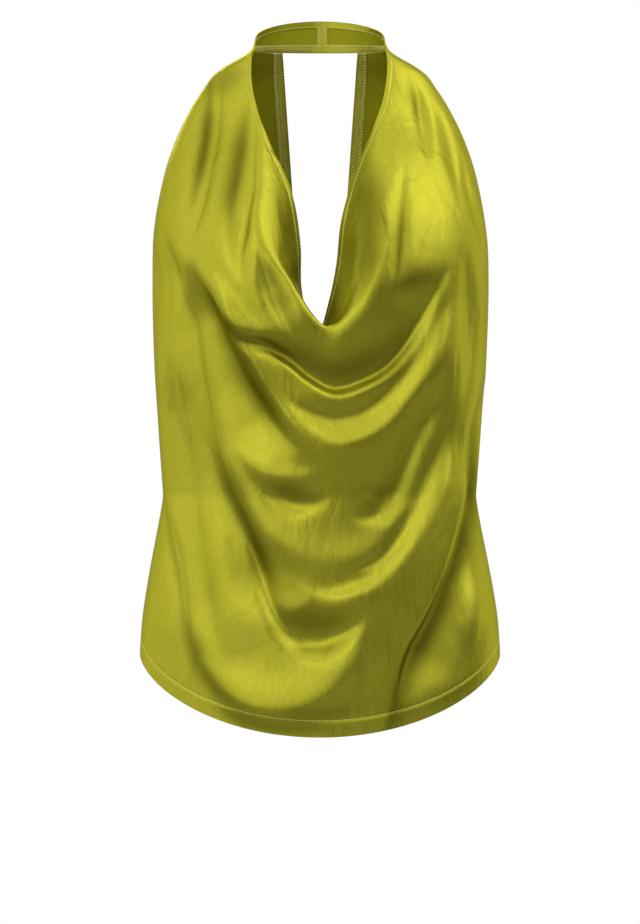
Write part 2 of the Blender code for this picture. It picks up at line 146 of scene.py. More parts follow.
# Folds of the satin. Each runs from left to right, or down where it is upright, through places seen from
# the front (x, height). depth is outwards for a ridge and inwards for a trough. above and below are how far
# it spreads to each side of its run; beside an upright one they are its right and its left.
Fold = namedtuple("Fold", "places depth above below")
FRONT_FOLDS = (
    # hollow under the cowl
    Fold(((-69, -300), (-57, -301), (-42, -308), (-25, -318), (-7, -331), (15, -341), (37, -335),
          (59, -324), (77, -307), (93, -283), (108, -252), (119, -226)), -12, 32, 6),
    # trough inside the first swag
    Fold(((-36, -350), (-9, -362), (20, -368), (42, -361), (61, -346), (79, -326), (94, -304),
          (105, -280), (117, -250)), -4, 11, 9),
    # first swag
    Fold(((-106, -222), (-90, -259), (-75, -294), (-62, -321), (-49, -344), (-33, -365), (-14, -383),
          (13, -394), (40, -388), (68, -369), (92, -338), (110, -301), (125, -255)), 8, 11, 26),
    # hollow under the left of the first swag
    Fold(((-64, -424), (-46, -438), (-25, -447), (-5, -447), (11, -438)), -6, 13, 9),
    # hollow under the right of the first swag
    Fold(((22, -453), (39, -460), (55, -457), (69, -438), (80, -412), (90, -386), (103, -357),
          (117, -316)), -9, 18, 11),
    # second swag
    Fold(((-100, -371), (-89, -400), (-71, -444), (-41, -476), (14, -499), (51, -488), (75, -462),
          (92, -430), (107, -389), (119, -348)), 3.5, 16, 16),
    # trough in the second swag
    Fold(((17, -511), (55, -497), (78, -465), (96, -427), (112, -389), (126, -347)), -5, 9, 7),
    # third swag
    Fold(((-22, -524), (14, -535), (50, -524), (83, -489), (108, -440), (128, -380)), 8, 10, 30),
    # lowest hollow
    Fold(((-53, -533), (-33, -563), (-13, -573), (13, -569), (30, -557), (48, -537)), -11, 22, 12),
    # slope into the lowest hollow
    Fold(((-75, -467), (-62, -499), (-49, -532), (-35, -559), (-20, -574)), -5, 26, 6),
    # fullness above the hem
    Fold(((-110, -583), (-89, -612), (-60, -630), (-27, -632), (6, -618), (31, -583), (44, -555)), 8, 26, 14),
    # left shoulder drape
    Fold(((-95, -26), (-96, -54), (-98, -77), (-101, -110), (-107, -142), (-115, -184),
          (-124, -223)), -6, 8, 11),
    # beside the left neck edge
    Fold(((-59, -59), (-63, -93), (-65, -120), (-66, -157), (-71, -190), (-74, -224),
          (-68, -255)), -8, 7, 13),
    # under the left of the cowl
    Fold(((-57, -210), (-51, -237), (-43, -262), (-31, -286), (-22, -306)), -8, 13, 8),
    # ridge over the pocket on the left
    Fold(((-105, -247), (-86, -273), (-68, -288), (-48, -293), (-27, -300)), 4, 9, 6),
    # pocket on the left
    Fold(((-90, -280), (-73, -297), (-53, -304), (-31, -314), (-11, -328)), -6, 8, 6),
    # diagonal from the left chest
    Fold(((-122, -218), (-113, -252), (-100, -280), (-85, -311), (-71, -339), (-57, -359), (-42, -378),
          (-26, -392), (-7, -403)), -16, 13, 26),
    # small swag under the diagonal
    Fold(((-84, -389), (-62, -410), (-37, -424), (-9, -422), (11, -407)), 4, 12, 10),
    # long diagonal on the left
    Fold(((-151, -179), (-144, -223), (-127, -291), (-116, -342), (-106, -389), (-94, -426),
          (-83, -449), (-73, -470), (-65, -493), (-57, -516), (-46, -541), (-31, -565)), -11, 12, 24),
    # left hip
    Fold(((-147, -437), (-139, -473), (-132, -510), (-126, -547), (-124, -585), (-127, -613)), -4, 6, 6),
    # left groove
    Fold(((-144, -304), (-131, -398), (-121, -454), (-114, -501), (-104, -547), (-90, -594)), -6, 11, 14),
    # left side ridge
    Fold(((-144, -222), (-139, -286), (-133, -351), (-121, -416)), 3, 6, 6),
    # tuck on the right chest
    Fold(((78, -122), (76, -155), (74, -200), (71, -232), (66, -265)), -3, 6, 9),
    # right shoulder, inner
    Fold(((83, -43), (92, -61), (96, -83), (100, -113), (103, -141)), -4, 5, 8),
    # right shoulder, outer
    Fold(((101, -65), (113, -84), (120, -111), (127, -145), (132, -178)), -2.5, 5, 7),
    # tuck beside the right armhole
    Fold(((131, -114), (137, -146), (146, -181), (154, -218)), -2.5, 3, 5),
    # overlapping fold on the right
    Fold(((155, -325), (153, -356), (149, -385), (143, -416), (137, -444), (131, -472), (124, -500),
          (113, -530), (101, -556), (89, -579), (79, -601), (71, -621), (63, -638)), -13, 26, 7),
    # proud edge of the overlapping fold
    Fold(((143, -389), (136, -426), (128, -463), (118, -495), (107, -526), (94, -554), (82, -579),
          (72, -602)), 7, 5, 24),
    # right side, upper
    Fold(((132, -203), (138, -258), (140, -314), (132, -361)), -4, 10, 9),
    # right side, lower
    Fold(((143, -500), (142, -547), (138, -593)), 3, 9, 12),
)
BACK_FOLDS = (
    Fold(((-60, -330), (0, -372), (60, -330)), -7, 22, 22),
    Fold(((-90, -360), (0, -430), (90, -350)), 6, 24, 24),
    Fold(((-75, -440), (5, -488), (90, -430)), -7, 24, 24),
    Fold(((105, -250), (118, -400), (80, -560)), -5, 14, 14),
    Fold(((-115, -260), (-110, -420), (-70, -585)), -5, 16, 12),
    Fold(((-30, -520), (-20, -570), (-35, -612)), -4, 18, 18),
)

# Painted shade on the front's satin: streaks where its base colour is darkened along creases and fold
# hollows, as runs of places (mm) seen from the front. Depth is the share by which the colour goes towards the
# dark painted shade tint.
FRONT_PAINTED_SHADE = (
    # left chest, outer streak
    Fold(((-103, -35), (-104, -72), (-108, -119), (-115, -156), (-123, -191)), 0.75, 6, 7),
    # left chest, inner streak
    Fold(((-66, -59), (-70, -93), (-74, -130), (-81, -171), (-89, -218)), 0.7, 6, 11),
    # left shoulder
    Fold(((-121, -69), (-100, -54), (-80, -44), (-59, -41)), 0.4, 12, 14),
    # above the diagonal
    Fold(((-120, -224), (-115, -233), (-106, -250), (-88, -282), (-69, -316), (-52, -348), (-35, -372),
          (-15, -389)), 0.5, 9, 7),
    # right shoulder streak
    Fold(((82, -37), (88, -70), (96, -107)), 0.5, 5, 5),
    # right shoulder line
    Fold(((110, -69), (120, -115), (130, -165)), 0.4, 3, 3),
    # tuck on the right chest
    Fold(((76, -140), (73, -205), (67, -269)), 0.65, 4, 4),
    # inside the roll, right
    Fold(((43, -104), (43, -150), (44, -196), (43, -237), (24, -277)), 0.65, 17, 17),
    # inside the roll, left
    Fold(((-44, -122), (-33, -173), (-26, -225), (-11, -269)), 0.6, 12, 14),
    # pocket on the left
    Fold(((-86, -280), (-68, -297), (-48, -303), (-22, -317)), 0.4, 7, 6),
    # right of the tuck
    Fold(((71, -259), (85, -241), (104, -224)), 0.3, 16, 12),
    # under the cowl's edge
    Fold(((-64, -277), (-27, -308), (9, -327), (51, -312), (83, -275)), 0.5, 14, 12),
    # below the bowl, right
    Fold(((28, -348), (60, -327), (83, -297), (99, -261)), 0.35, 9, 12),
    # under the first swag, left
    Fold(((-62, -420), (-32, -436), (-9, -442), (13, -433)), 0.4, 11, 9),
    # under the first swag, right
    Fold(((24, -446), (50, -447), (72, -433), (90, -398)), 0.35, 12, 10),
    # right of the long diagonal
    Fold(((-111, -370), (-97, -403), (-86, -434), (-72, -462), (-58, -487), (-44, -516),
          (-29, -543)), 0.5, 10, 5),
    # lowest hollow
    Fold(((-57, -524), (-29, -550), (2, -555), (40, -537)), 0.4, 18, 12),
    # beside the overlapping fold
    Fold(((147, -379), (139, -444), (125, -500), (103, -556), (79, -601), (63, -645),
          (53, -682)), 0.75, 14, 4),
    # left hip
    Fold(((-150, -416), (-140, -472), (-130, -519), (-125, -575)), 0.35, 3, 4),
    # above the hem, left
    Fold(((-127, -518), (-121, -568), (-106, -602), (-81, -624), (-48, -639)), 0.55, 8, 9),
    # above the hem, right
    Fold(((-73, -632), (-18, -639), (28, -636), (65, -624)), 0.3, 9, 8),
    # hem, middle
    Fold(((-119, -622), (-73, -643), (-18, -654), (28, -652), (59, -643)), 0.3, 7, 8),
    # hem, right
    Fold(((83, -639), (111, -628), (138, -610), (157, -591)), 0.3, 7, 8),
)
FOLD_STEPS = 5     # points of a fold's run for each of its places
FOLD_REACH = 3     # spreads from its run past which a fold is flat
FOLD_FADE = 65     # length over which a fold dies away towards each end
FADE_SHARE = 0.45  # or share of a short fold's length
END_WIDTH = 0.35   # share of its width that is left at an end
SEAM_CALM = 16     # degrees beside a side seam in which folds die away
MOST_PAINTED_SHADE = 0.8    # most painted shade, where its streaks cross

# Turned edges: distances from an edge at which the cloth's rows lie, so that the line of stitches and the
# turned edge under it have rows of their own.
TURN_ROWS = (0, 0.4, 1.2, 2.4, 3.8, 4.7, 5.2, 5.7, 6.3, 7.4, 9)
NECK_TURN = 5.2
ARMHOLE_ROWS = (0, 0.4, 1.6, 3.6, 6, 8, 8.8, 9.4, 10, 11.2, 13)
ARMHOLE_LAST = ARMHOLE_ROWS[::-1]  # the same where the armhole is at a row's end
ARMHOLE_TURN = 8.8
STITCH_ROW = TURN_ROWS.index(NECK_TURN)   # the neck's row and the armholes' column with the stitches
TURNED_FIRST = slice(1, STITCH_ROW + 2)   # rows or columns of a turned edge at the start of a panel
TURNED_LAST = slice(-STITCH_ROW - 2, -1)  # and at its end
HEM_ROWS = (18, 16.6, 15.8, 15.3, 14.8, 14, 12, 9, 6, 3.2, 1.2, 0.3, 0)
HEM_TURN = 15
HEM_STITCH_ROW = -10     # from the hem's edge
HEM_ENDS = slice(2, -2)  # its turning stops short of the side seams
KEYHOLE_ROWS = (0, 0.4, 1.2, 2.6, 4.6, 6.6, 8, 8.6, 9.2, 10, 11.2, 13)
KEYHOLE_RAW = len(KEYHOLE_ROWS) - 2  # column with the raw edge of its turning
KEYHOLE_TURN = 9       # depth of its turning below its foot
KEYHOLE_STITCHES = 8   # from its edge
BACK_SECOND_ROW = -27  # its height
BACK_TURNED_ROW = 2    # the first row of its armholes' turning, below the band's seam
FAR = 99.0  # from an edge, where no stitches pull the cloth
STITCH_GROOVE, GROOVE_WIDTH = 0.3, 0.6
TURNING_PROUD, PROUD_FADE = 0.2, 1.2
RELIEF_FADE = 12  # height over which an edge's relief dies away

FORM_COLUMNS, ROLL_STEPS, DROP_STEPS = 161, 90, 200  # of the front's form, before it is respaced
FRONT_ROWS, FRONT_COLUMNS = 180, 176                 # between those at its edges
BACK_FORM_COLUMNS, BACK_COLUMNS = 90, 70
KEYHOLE_ABOVE, KEYHOLE_ROUND, KEYHOLE_BELOW = 70, 26, 78  # rows of the back beside, round and below it

FOOT, TOP = 0, 1      # the band's edges
BAND_HALF_GAP = 0.03  # degrees from centre back to each half of the band
BAND_COLUMNS, BAND_ROWS, BAND_TURN_ROWS = 61, 17, 5
BAND_HEM_TURN, BAND_SEAM_TURN = 6.5, 8
BAND_NEEDLE = 0.8    # from the raw edge of its turned top to the stitches
BAND_TURN_END = 2.5  # degrees by which its turnings stop short of its end
TURN_INSET = 0.6
NAPE_SEAM_ROWS = 9
NAPE_SEAM_GAP = 0.1   # to the band's turnings above and below it
SIDE_SEAM_COLUMN = 8  # column of a panel that the seam allowance reaches

# Seams, each from, to and in how many steps: the front's corners by angle and by share of the band's
# height, the nape's by x, and the side seams' heights.
CORNER_ANGLES = (BAND_FRONT_ANGLE + 3, BAND_FRONT_ANGLE - 2.2, 6)
CORNER_SHARES = (0.1, 0.95, 6)
NAPE_SEAM_X = (7, -2.6, 7)
SIDE_SEAM_HEIGHTS = (UNDERARM - 4, HEM_SIDE + HEM_TURN + 3, 100)

TURNED_DEPTH = CLOTH + LAY_GAP        # from a panel's face to what is turned inside it
INNER_DEPTH = TURNED_DEPTH + TURNING  # and to the inner face of that
WELDS_PER_MM = 200                    # points of a cloth that agree this closely are one
SHARP_ANGLE = 50                      # degrees past which an edge shows sharp

STITCH_PITCH, STITCH_LENGTH = 3.2, 2.4
STITCH_RADIUS = 0.32
STITCH_ALONG = np.array([0, 0.18, 0.5, 0.82, 1])          # shares of a stitch's length
STITCH_LIFT = np.array([-0.05, 0.12, 0.16, 0.12, -0.05])  # its heights above the cloth there
OVERLOCK_PITCH = 2.9
OVERLOCK_RADIUS = 0.3
THREAD_TIP = 0.35  # share of a thread's radius at its ends

# Threads in one pitch of overlocking: loops over the raw edge, slanted stitches towards the fold and a
# chain. Each place is pitches ahead, the share from the fold to the raw edge, and the lift off the cloth.
OVERLOCK_THREADS = (
    ((0, 0.5, 0.1), (0.12, 0.78, 0.34), (0.3, 1.03, 0.05)),
    ((0.3, 1.03, 0.05), (0.55, 0.8, 0.3), (1, 0.5, 0.1)),
    ((0.1, 0.5, 0.1), (0.5, 0.33, 0.34), (0.75, 0.14, 0.05)),
    ((0.05, 0.46, 0.2), (0.5, 0.5, 0.4), (0.95, 0.46, 0.2)),
)

EDGE_TINT = (0.95, 0.92, 0.45, 1)  # of the satin's shine seen edge on
PAINTED_SHADE_TINT = (0.05, 0.045, 0, 1)    # dark colour towards which the painted shade streaks take the satin
BIAS_ANGLE = 40                    # degrees by which its threads slant

CAMERA_AWAY, CAMERA_HEIGHT, CAMERA_LENS = 3.07, -0.409, 124.3  # m, m, mm
FLOOR_HEIGHT, FLOOR_RADIUS = -1.4, 3.6                         # m
FLOOR_GREY = (0.34, 0.34, 0.34, 1)
LIGHT_AIM = (0, 0, -0.35)                                      # m, where all the lights point


# ---------------- materials

class Value:
    """A value in a material. Maths on it adds maths nodes, and node adds any other node after it."""

    def __init__(self, tree, socket=None):
        self.tree = tree
        self.socket = socket

    def node(self, kind, settings=None, inputs=None, output=0):
        made = self.tree.nodes.new(kind)
        for name, setting in (settings or {}).items():
            setattr(made, name, setting)
        for name, value in (inputs or {}).items():
            if isinstance(value, Value):
                self.tree.links.new(value.socket, made.inputs[name])
            else:
                made.inputs[name].default_value = value
        return Value(self.tree, made.outputs[output])

    def maths(self, operation, first, second=0.0):
        return self.node("ShaderNodeMath", {"operation": operation}, {0: first, 1: second})

    def __add__(self, other):
        return self.maths("ADD", self, other)

    __radd__ = __add__

    def __sub__(self, other):
        return self.maths("SUBTRACT", self, other)

    def __rsub__(self, other):
        return self.maths("SUBTRACT", other, self)

    def __mul__(self, other):
        return self.maths("MULTIPLY", self, other)

    __rmul__ = __mul__


def finish(name, constants):
    """A material with a Principled shader whose constants are set; its varying values come later."""
    material = bpy.data.materials.new(name)
    material.use_nodes = True
    shader = material.node_tree.nodes["Principled BSDF"]
    for socket, value in constants.items():
        shader.inputs[socket].default_value = value
    return material, Value(material.node_tree), shader


def noise(place, scale, detail=2.0, roughness=0.5, distortion=0.0):
    return place.node("ShaderNodeTexNoise", None, {
        "Vector": place, "Scale": scale, "Detail": detail, "Roughness": roughness, "Distortion": distortion,
    })


def blend(amount, first, second):
    """Colour between two colours."""
    return amount.node("ShaderNodeMix", {"data_type": "RGBA"}, {"Factor": amount, 6: first, 7: second}, 2)


def between(amount, first, second):
    """Number between two numbers."""
    return amount.node("ShaderNodeMix", {"data_type": "FLOAT"}, {"Factor": amount, 2: first, 3: second})


def plug(value, shader, socket):
    value.tree.links.new(value.socket, shader.inputs[socket])


def satin(name, colours, metallic, roughness, grain):
    """Satin cloth: its sheen breaks up slightly along the bias, with a fine grain and faint soft dents, and
    painted shade darkens its colour where the mesh marks it.
    """
    material, start, shader = finish(name, {"Metallic": metallic, "Specular Tint": EDGE_TINT})
    place = start.node("ShaderNodeTexCoord", output=3)
    slanted = place.node("ShaderNodeMapping", None, {
        "Vector": place, "Rotation": (0, math.radians(BIAS_ANGLE), 0), "Scale": (1, 1, 0.12),
    })
    streaks = noise(slanted, 420, 3)
    clouds = noise(place, 28, 3)
    fine = noise(place, 700, 2, 0.7)
    tint = blend(clouds * 0.4 + streaks * 0.4 + (fine - 0.45) * 1.8, *colours)
    # painted shade: the base colour is darkened towards a dark tint along creases and fold hollows, where the
    # mesh marks it
    painted_shade = place.node("ShaderNodeAttribute", {"attribute_name": "painted_shade"}, None, 2)
    plug(blend(painted_shade, tint, PAINTED_SHADE_TINT), shader, "Base Color")
    plug(roughness + (streaks - 0.5) * 0.14 + (clouds - 0.5) * 0.08, shader, "Roughness")
    drape = place.node("ShaderNodeMapping", None, {"Vector": place, "Scale": (1, 1, 0.35)})
    dents = noise(drape, 45, 2, 0.5, 0.6)
    height = fine * grain + streaks * grain + dents * 1.7
    bump = place.node("ShaderNodeBump", None, {"Height": height, "Distance": MM, "Strength": 0.8})
    plug(bump, shader, "Normal")
    return material


def spun(name, colours, roughness):
    """Sewing thread with a twist."""
    material, start, shader = finish(name, {"Metallic": 0.0, "Sheen Weight": 0.2})
    place = start.node("ShaderNodeTexCoord", output=3)
    strands = noise(place, 1300, 2)
    plug(blend(strands, *colours), shader, "Base Color")
    plug(roughness + (strands - 0.5) * 0.2, shader, "Roughness")
    bump = place.node("ShaderNodeBump", None, {"Height": strands, "Distance": 0.1 * MM, "Strength": 0.5})
    plug(bump, shader, "Normal")
    return material


FACE = satin("satin_face", ((0.37, 0.35, 0.014, 1), (0.51, 0.49, 0.045, 1)), 0.94, 0.37, 0.08)
WRONG_SIDE = satin("satin_wrong_side", ((0.29, 0.28, 0.004, 1), (0.40, 0.385, 0.01, 1)), 0.6, 0.55, 0.08)
THREAD = spun("thread", ((0.76, 0.71, 0.13, 1), (0.92, 0.88, 0.26, 1)), 0.55)


# ---------------- the form

def spline(knots, values, at):
    """Smooth curve through values at rising knots, for each place in at."""
    knots = np.asarray(knots, float)
    values = np.asarray(values, float)
    slopes = np.gradient(values, knots, axis=0)
    at = np.asarray(at, float)
    i = np.clip(np.searchsorted(knots, at, side="right") - 1, 0, len(knots) - 2)
    span = knots[i + 1] - knots[i]
    t = (at - knots[i]) / span
    if values.ndim > 1:
        t, span = t[..., None], span[..., None]
    start = (1 + 2 * t) * (1 - t) ** 2 * values[i] + t * (1 - t) ** 2 * span * slopes[i]
    end = t * t * (3 - 2 * t) * values[i + 1] + t * t * (t - 1) * span * slopes[i + 1]
    return start + end


def smoothstep(t):
    t = np.clip(t, 0, 1)
    return t * t * (3 - 2 * t)


def section(height):
    """The four sizes of the form at each height."""
    table = np.array(SECTIONS[::-1])
    return np.moveaxis(spline(table[:, 0], table[:, 1:], height), -1, 0)


def form_point(angle, height, inset=0):
    """Point of the outer surface at an angle round the section, moved back by inset."""
    half_width, middle, front, back = section(height)
    cosine = np.cos(np.radians(angle))
    depth = np.where(cosine > 0, front, back)
    x = half_width * np.sin(np.radians(angle))
    return np.stack([x, middle - depth * cosine + inset, height + 0 * x], axis=-1)


def angle_at(x, height):
    """Angle round the front half of the section at which the form is x wide."""
    widest = math.sin(math.radians(SIDE_EDGE[0].angle))
    return np.degrees(np.arcsin(np.clip(x / section(height)[0], -widest, widest)))


def run_length(points):
    steps = np.linalg.norm(np.diff(points, axis=0), axis=1)
    return np.concatenate([[0], np.cumsum(steps)])


def unit(vectors):
    return vectors / np.linalg.norm(vectors, axis=-1, keepdims=True)


def hem_height(angle):
    cosine = np.cos(np.radians(angle))
    dip = np.where(cosine > 0, HEM_DIP_FRONT, HEM_DIP_BACK)
    return HEM_SIDE - dip * np.abs(cosine) ** HEM_CURVE


def walk(line, places):
    """Points along a line at distances from its start, given as a function of its length. The first three
    channels of a point are its place."""
    reached = run_length(line[:, :3])
    at = places(reached[-1])
    return np.stack([np.interp(at, reached, channel) for channel in line.T], axis=-1)


def respaced(grid, down=None, across=None):
    """A grid with its points moved along its columns, or along its rows."""
    if down:
        grid = np.stack([walk(column, down) for column in np.moveaxis(grid, 1, 0)], axis=1)
    if across:
        grid = np.stack([walk(row, across) for row in grid])
    return grid


def spacing(first, last, count):
    """Distances along a line: the first ones, even ones, and the last ones, given from its end."""
    def places(length):
        even = np.linspace(first[-1], length - last[0], count + 2)[1:-1]
        return np.concatenate([first, even, length - np.array(last)])
    return places


# ---------------- folds

def fold_depth(fold, x, height):
    """How far one fold moves the cloth outwards at each place seen from the front. The fold runs on a
    smooth curve through its places."""
    places = np.array(fold.places, float)
    reached = run_length(places)
    run = spline(reached, places, np.linspace(0, reached[-1], FOLD_STEPS * len(places)))
    reached = run_length(run)
    reach = FOLD_REACH * max(fold.above, fold.below)
    low, high = run.min(axis=0) - reach, run.max(axis=0) + reach
    near = (x > low[0]) & (x < high[0]) & (height > low[1]) & (height < high[1])
    place = np.stack([x[near], height[near]], axis=-1)
    nearest = np.full(len(place), np.inf)
    signed, along = np.zeros(len(place)), np.zeros(len(place))
    for a, b, start in zip(run[:-1], run[1:], reached):
        way = b - a
        t = np.clip(((place - a) @ way) / (way @ way), 0, 1)
        offset = place - (a + t[:, None] * way)
        distance = np.linalg.norm(offset, axis=-1)
        side = way[0] * offset[:, 1] - way[1] * offset[:, 0]
        closer = distance < nearest
        nearest = np.where(closer, distance, nearest)
        signed = np.where(closer, np.where(side > 0, distance, -distance), signed)
        along = np.where(closer, start + t * np.linalg.norm(way), along)
    fade = min(FOLD_FADE, FADE_SHARE * reached[-1])
    taper = smoothstep(along / fade) * smoothstep((reached[-1] - along) / fade)
    width = np.where(signed > 0, fold.above, fold.below) * (END_WIDTH + (1 - END_WIDTH) * taper)
    total = np.zeros(x.shape)
    total[near] = fold.depth * taper * np.exp(-(signed / width) ** 2)
    return total


def fold_all(points, folds):
    """Moves the points outwards, square to the section, by all the folds together."""
    x, height, angle = points[..., 0], points[..., 2], points[..., 3]
    half_width, _, front, back = section(height)
    cosine, sine = np.cos(np.radians(angle)), np.sin(np.radians(angle))
    depth = np.where(cosine > 0, front, back)
    outwards = unit(np.stack([sine * depth, -cosine * half_width, 0 * x], axis=-1))
    total = sum(fold_depth(fold, x, height) for fold in folds)
    calm = smoothstep(np.abs(SEAM_ANGLE - np.abs(angle)) / SEAM_CALM)
    return points[..., :3] + outwards * (total * calm)[..., None]


# ---------------- front

def edge_angle_at(height):
    """Angle of the front's outer edge at a height."""
    table = np.array(SIDE_EDGE)[::-1]
    return spline(table[:, 1], table[:, 0], height)


def side_path(share):
    """Angle and height of the front's outer edge, by share of its length."""
    table = np.array(SIDE_EDGE)
    lengths = run_length(form_point(table[:, 0], table[:, 1]))
    height = spline(lengths / lengths[-1], table[:, 1], share)
    return edge_angle_at(height), height


def neck_rows(across):
    """Angle, height and inset of the neck edge and of the cowl's crest, for each column."""
    table = np.array(NECK_EDGE)
    lengths = run_length(table[:, :3])
    foot = lengths[BOWL_FOOT]
    rest = lengths[-1] - foot
    shares = np.where(lengths < foot, lengths / foot - 1, (lengths - foot) / rest)
    x, depth, height, roll_x, roll_up = np.moveaxis(spline(shares, table, across), -1, 0)
    edge_angle = angle_at(x, height)
    inset = depth - form_point(edge_angle, height)[..., 1]
    crest_height = height + roll_up
    return edge_angle, height, inset, angle_at(x + roll_x, crest_height), crest_height


def front_form(across, down):
    """Places and angles of the front without its folds: across from -1 to 1 by columns, down from 0 at the
    neck edge to 1 at the top of the hem, and last the hem's own edge."""
    edge_angle, edge_height, inset, crest_angle, crest_height = neck_rows(across)
    rise = np.maximum(crest_height - edge_height, 0)
    end_angle = SIDE_EDGE[0].angle
    hem_angle = SEAM_ANGLE * across
    hem = hem_height(hem_angle)
    side_weight = np.abs(across) ** SIDE_PULL

    def below(share):
        side_angle, side_height = side_path(share)
        even_angle = end_angle + (SEAM_ANGLE - end_angle) * share ** COLUMN_SPREAD
        even_height = SIDE_EDGE[0].height + (HEM_SIDE + HEM_TURN - SIDE_EDGE[0].height) * share
        angle = crest_angle + (hem_angle - crest_angle) * share ** COLUMN_SPREAD
        angle = angle + side_weight * np.sign(across) * (side_angle - even_angle)
        height = crest_height + (hem + HEM_TURN - crest_height) * share
        return angle, height + side_weight * (side_height - even_height)

    crest = ROLL_AT[2]
    knots = list(ROLL_AT) + list(np.linspace(ROLL_AT[3], 1, COLUMN_KNOTS)[1:])
    angles = [edge_angle, (edge_angle + crest_angle) / 2]
    heights = [edge_height, edge_height * 3 / 4 + crest_height / 4 + rise / 2]
    for knot in knots[2:]:
        angle, height = below((knot - crest) / (1 - crest))
        angles.append(angle)
        heights.append(height)
    insets = [share * inset for share in ROLL_INSET] + [0 * inset] * (len(knots) - len(ROLL_INSET))
    ends = (angles, hem_angle), (heights, hem), (insets, 0 * hem)
    angle, height, inset = (np.concatenate([spline(knots, rows, down), last[None]]) for rows, last in ends)
    return np.concatenate([form_point(angle, height, inset), angle[..., None]], axis=-1)


# ---------------- back

def keyhole_half(height):
    """Half the width of the keyhole at a height, round at its foot."""
    straight = KEYHOLE_HALF_TOP - KEYHOLE_TAPER * (BAND_FOOT - height)
    drop = (KEYHOLE_ROUND_FROM - height) / (KEYHOLE_ROUND_FROM - KEYHOLE_FOOT)
    return straight * np.sqrt(1 - np.clip(drop, 0, 1) ** 2)


def band_edges(angle):
    """Foot and top of the band at an angle round the neck."""
    away = 1 + np.cos(np.radians(angle))
    return BAND_FOOT - BAND_FOOT_DROP * away, BAND_TOP - BAND_TOP_DROP * away


def back_heights():
    """Heights of the back's rows: even ones beside the keyhole, close ones round its foot, even ones to the
    top of the hem, and the hem's own but for its edge."""
    above = np.linspace(BACK_SECOND_ROW, KEYHOLE_ROUND_FROM, KEYHOLE_ABOVE)
    turn = np.radians(np.linspace(0, 90, KEYHOLE_ROUND + 1)[1:])
    round_foot = KEYHOLE_ROUND_FROM + (KEYHOLE_FOOT - KEYHOLE_ROUND_FROM) * np.sin(turn)
    below = np.linspace(KEYHOLE_FOOT, HEM_SIDE + HEM_TURN, KEYHOLE_BELOW + 1)[1:]
    hem = HEM_SIDE + np.array(HEM_ROWS[:-1])
    return np.concatenate([[BAND_FOOT - SEAM_GAP], above, round_foot, below, hem])


def back_form(side):
    """Places and angles of one half of the back without its folds, from the keyhole or centre back out to
    its edge. The last row is the hem's own edge."""
    heights = back_heights()
    armhole = np.array(BACK_ARMHOLE)[::-1]
    reach = spline(armhole[:, 0], armhole[:, 1], np.maximum(heights, UNDERARM))
    seam = edge_angle_at(np.minimum(heights, UNDERARM)) + np.degrees(SEAM_GAP / section(heights)[3])
    outer = np.where(heights > UNDERARM, 180 - angle_at(reach, heights), seam)
    inner = 180 - angle_at(keyhole_half(heights), heights)
    angle = inner[:, None] + (outer - inner)[:, None] * np.linspace(0, 1, BACK_FORM_COLUMNS)
    height = heights[:, None] + 0 * angle
    height[0] = band_edges(angle[0])[0] - SEAM_GAP
    drop = np.clip((KEYHOLE_FOOT - height) / (KEYHOLE_FOOT - HEM_SIDE - HEM_TURN), 0, 1)
    height = height + drop * (hem_height(angle) - HEM_SIDE)
    angle = np.concatenate([angle, angle[-1:]])
    height = np.concatenate([height, hem_height(angle[-1:])])
    return np.concatenate([form_point(side * angle, height), side * angle[..., None]], axis=-1)


# ---------------- meshes

def patch(points):
    """A grid of outer points, its rows going down and its columns right, and the vectors square to it."""
    return points, unit(np.cross(np.gradient(points, axis=0), np.gradient(points, axis=1)))


def new_piece(name, places, faces, finishes, face_finish=None):
    """An object with its place in its mesh, from points in millimetres."""
    mesh = bpy.data.meshes.new(name)
    mesh.from_pydata(np.asarray(places) * MM, [], faces)
    for material in finishes:
        mesh.materials.append(material)
    mesh.shade_smooth()
    if face_finish:
        mesh.polygons.foreach_set("material_index", face_finish)
        mesh.set_sharp_from_angle(angle=math.radians(SHARP_ANGLE))
    mesh.validate()
    mesh.update()
    piece = bpy.data.objects.new(name, mesh)
    bpy.context.scene.collection.objects.link(piece)
    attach(piece, "root")
    return piece


def wall_piece(name, patches, depth, thickness, finishes):
    """A closed cloth wall that starts at a depth inside the outer points of one or more patches, which
    are joined where they meet. finishes are those of its face and its wrong side."""
    places, squares, faces, number = [], [], [], {}

    def vertex(point, square):
        key = tuple(np.round(point * WELDS_PER_MM).astype(int))
        if key not in number:
            number[key] = len(places)
            places.append(point)
            squares.append(np.zeros(3))
        squares[number[key]] += square
        return number[key]

    for points, square in patches:
        rows = [[vertex(*pair) for pair in zip(*row)] for row in zip(points, square)]
        for upper, lower in zip(rows[:-1], rows[1:]):
            for i in range(len(upper) - 1):
                face = (upper[i], lower[i], lower[i + 1], upper[i + 1])
                kept = [v for k, v in enumerate(face) if v != face[k - 1]]
                if len(set(kept)) > 2:
                    faces.append(tuple(kept))
    count = len(places)
    squares = unit(np.array(squares))
    walls = np.concatenate([places - depth * squares, places - (depth + thickness) * squares])
    used = {(face[i - 1], face[i]) for face in faces for i in range(len(face))}
    rim = sorted((b, a, a + count, b + count) for a, b in used if (b, a) not in used)
    back = [tuple(i + count for i in reversed(face)) for face in faces]
    which = [0] * len(faces) + [1] * len(back) + [0] * len(rim)
    return new_piece(name, walls, faces + back + rim, finishes, which)


def panel_piece(name, patches, node):
    """A panel's cloth, in place of its solid."""
    piece = wall_piece(name, patches, 0, CLOTH, [FACE, WRONG_SIDE])
    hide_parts(node)
    return piece


def turning(name, patches, node=None):
    """A strip of a panel turned to its inside, whose face shows there."""
    piece = wall_piece(name, patches, TURNED_DEPTH, TURNING, [WRONG_SIDE, FACE])
    if node:
        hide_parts(node)
    return piece


